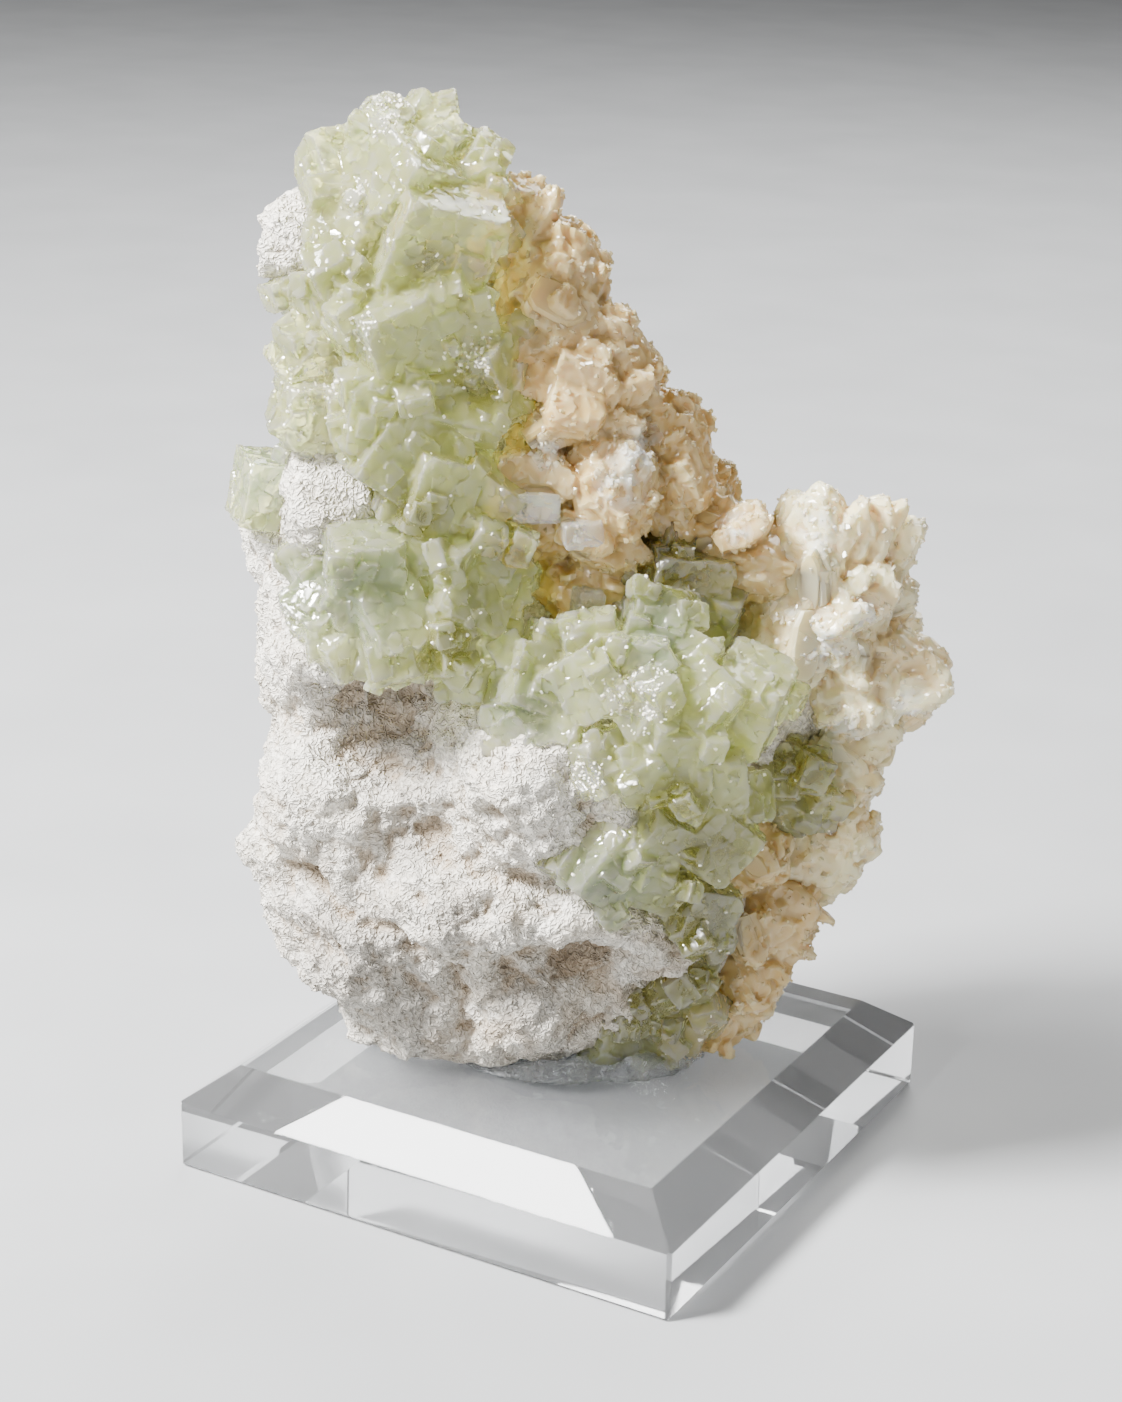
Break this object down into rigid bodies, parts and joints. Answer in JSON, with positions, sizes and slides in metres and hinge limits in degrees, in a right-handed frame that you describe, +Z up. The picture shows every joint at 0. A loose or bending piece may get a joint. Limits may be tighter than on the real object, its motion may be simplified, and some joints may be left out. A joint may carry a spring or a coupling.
{
  "type": "apophyllite mineral specimen on a clear display block",
  "caption": "Green apophyllite crystals with peach stilbite on white zeolite matrix, glued to a clear acrylic display block with bevelled edges.",
  "frame": {"origin": "centre of the block's underside", "axes": "+Z up; X and Y along the block's sides, and the specimen's front faces between -Y and +X"},
  "size_m": [0.1179, 0.1016, 0.1946],
  "materials": {
    "acrylic": "clear polished acrylic",
    "glue": "clear set glue, uneven",
    "matrix": "white woolly zeolite, rough",
    "stilbite": "peach translucent blades, pearly",
    "apophyllite": "pale green see-through crystal",
    "clear_crystal": "nearly colourless crystal"
  },
  "bodies": {
    "root": {"display_base": "acrylic", "mounting_glue": "glue", "matrix": "matrix", "stilbite_slab": "stilbite", "stilbite_spray": "stilbite", "stilbite_lower_crust": "stilbite", "apophyllite_column": "apophyllite", "apophyllite_bow_cluster": "apophyllite", "apophyllite_shaded_cluster": "apophyllite", "apophyllite_pocket_cluster": "apophyllite", "apophyllite_foot_cluster": "apophyllite", "apophyllite_corner_crystal": "apophyllite", "clear_crystal_flat": "clear_crystal", "clear_crystal_low": "clear_crystal", "clear_crystal_upright": "clear_crystal"}
  },
  "joints": []
}
